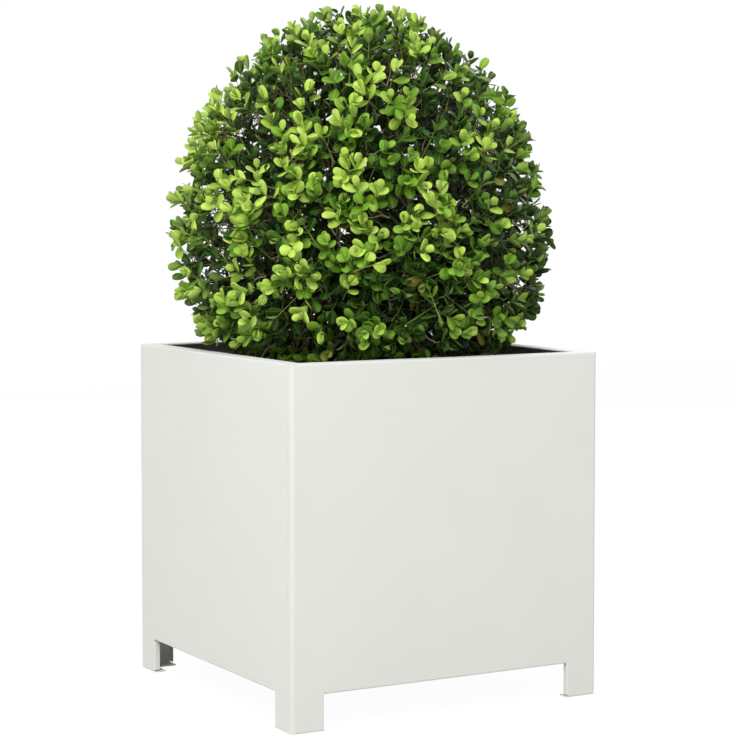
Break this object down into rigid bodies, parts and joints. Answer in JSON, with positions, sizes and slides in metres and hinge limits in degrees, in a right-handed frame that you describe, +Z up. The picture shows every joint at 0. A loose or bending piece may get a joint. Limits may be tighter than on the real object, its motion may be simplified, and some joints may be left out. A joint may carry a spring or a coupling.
{
  "type": "planter",
  "caption": "Square folded sheet steel planter on corner legs, holding soil and a clipped leafy ball that lifts out.",
  "frame": {"origin": "on the ground under the middle of the planter", "axes": "+Z up, the front face looks along -Y, the left face along -X"},
  "size_m": [0.4427, 0.4422, 0.7928],
  "materials": {
    "powder_coat": "off-white powder coat, fine satin texture",
    "galvanised_steel": "hot dip galvanised, dull grey with a faint spangle",
    "zinc_plate": "bright zinc plated fasteners",
    "soil": "dark crumbly potting soil",
    "roots": "matted brown root ball",
    "bark": "tan-grey young bark",
    "leaves": "glossy small leaves, bright new growth over dark green"
  },
  "bodies": {
    "planter": {"front_panel": "powder_coat", "back_panel": "powder_coat", "left_panel": "powder_coat", "right_panel": "powder_coat", "corner_angle_front_left": "powder_coat", "corner_angle_front_right": "powder_coat", "corner_angle_back_left": "powder_coat", "corner_angle_back_right": "powder_coat", "floor_plate": "galvanised_steel", "floor_beam_left": "galvanised_steel", "floor_beam_right": "galvanised_steel", "corner_studs": "zinc_plate", "corner_washers": "zinc_plate", "corner_nuts": "zinc_plate", "beam_studs": "zinc_plate", "beam_washers": "zinc_plate", "beam_nuts": "zinc_plate"},
    "plant": {"potting_soil": "soil", "root_ball": "roots", "stems": "bark", "foliage": "leaves"}
  },
  "joints": [
    {"name": "plant_lift", "type": "slide", "parent": "planter", "child": "plant", "axis": [0, 0, 1], "range_m": [0, 0.36]}
  ]
}
